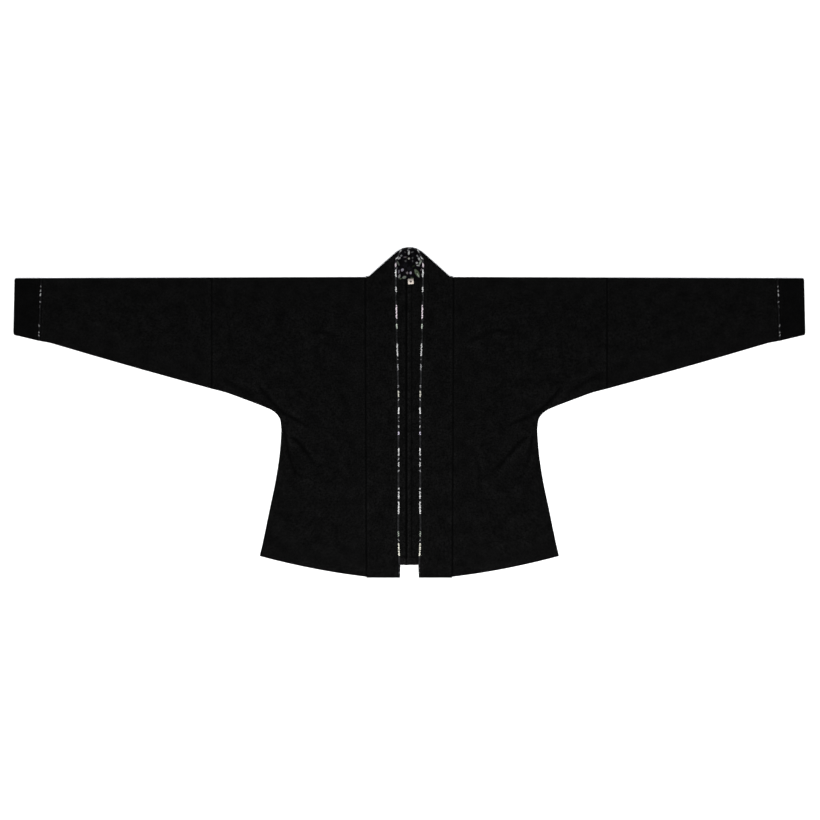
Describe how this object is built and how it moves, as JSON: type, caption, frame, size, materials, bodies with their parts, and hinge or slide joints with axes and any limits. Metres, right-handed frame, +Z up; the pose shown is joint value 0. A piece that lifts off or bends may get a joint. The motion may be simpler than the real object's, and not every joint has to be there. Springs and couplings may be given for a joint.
{
  "type": "hanfu-style jacket",
  "caption": "Short hanfu-style jacket laid flat: open front, straight band collar with printed edging, tapering sleeves and plain cuffs, front uppermost.",
  "frame": {"origin": "centre of the plan box, on the surface the jacket lies on", "axes": "+X towards the wearer's left cuff, +Y from hem to neck, +Z up from the surface, out of the front"},
  "size_m": [1.703, 0.71, 0.0061],
  "materials": {
    "black_cloth": "matte crepe-like cloth with a fine mottled nap",
    "cuff_cloth": "smooth matte cloth, a little darker",
    "printed_cloth": "black cotton with a small printed blossom and leaf repeat",
    "label_cloth": "plain woven ribbon"
  },
  "bodies": {
    "root": {"body_right": "black_cloth", "body_left": "black_cloth", "sleeve_right": "black_cloth", "sleeve_left": "black_cloth", "cuff_edging_right": "printed_cloth", "cuff_edging_left": "printed_cloth", "cuff_right": "cuff_cloth", "cuff_left": "cuff_cloth", "collar_band": "black_cloth", "collar_edging": "printed_cloth", "collar_facing": "printed_cloth", "neck_label": "label_cloth"}
  },
  "joints": []
}
